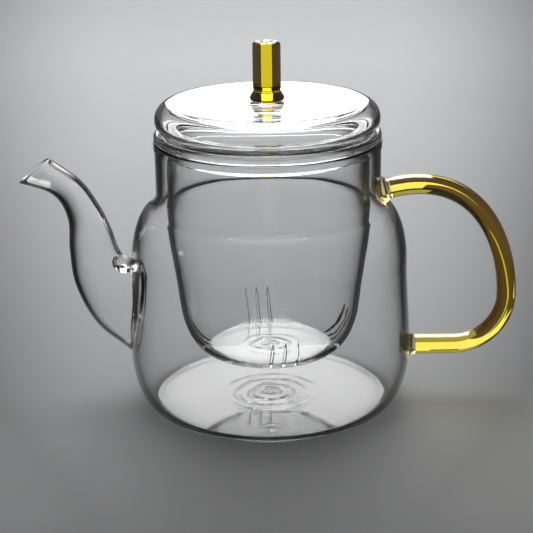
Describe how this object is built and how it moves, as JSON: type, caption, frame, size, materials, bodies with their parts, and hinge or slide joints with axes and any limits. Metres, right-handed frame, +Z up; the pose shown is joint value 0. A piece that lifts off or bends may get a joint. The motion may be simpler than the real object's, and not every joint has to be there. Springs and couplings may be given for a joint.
{
  "type": "glass teapot",
  "caption": "Clear blown-glass teapot with a swan-neck spout, a bent amber rod handle, a hanging slotted glass infuser and a hollow glass lid with an amber rod knob.",
  "frame": {"origin": "centre of the pot's flat base, on the table", "axes": "+X from the spout towards the handle, +Y away from the viewer of the side view, +Z up along the pot's axis"},
  "size_m": [0.1868, 0.1066, 0.1388],
  "materials": {
    "clear_glass": "gloss",
    "amber_glass": "gloss"
  },
  "bodies": {
    "pot": {"pot_body": "clear_glass", "spout": "clear_glass", "handle": "amber_glass", "upper_handle_weld": "clear_glass", "lower_handle_weld": "clear_glass"},
    "infuser": {"infuser": "clear_glass"},
    "lid": {"lid": "clear_glass", "knob_weld": "amber_glass", "knob": "amber_glass"}
  },
  "joints": [
    {"name": "infuser_lift", "type": "slide", "parent": "pot", "child": "infuser", "axis": [0, 0, 1], "range_m": [0, 0.095]},
    {"name": "lid_lift", "type": "slide", "parent": "infuser", "child": "lid", "axis": [0, 0, 1], "range_m": [0, 0.045]}
  ]
}
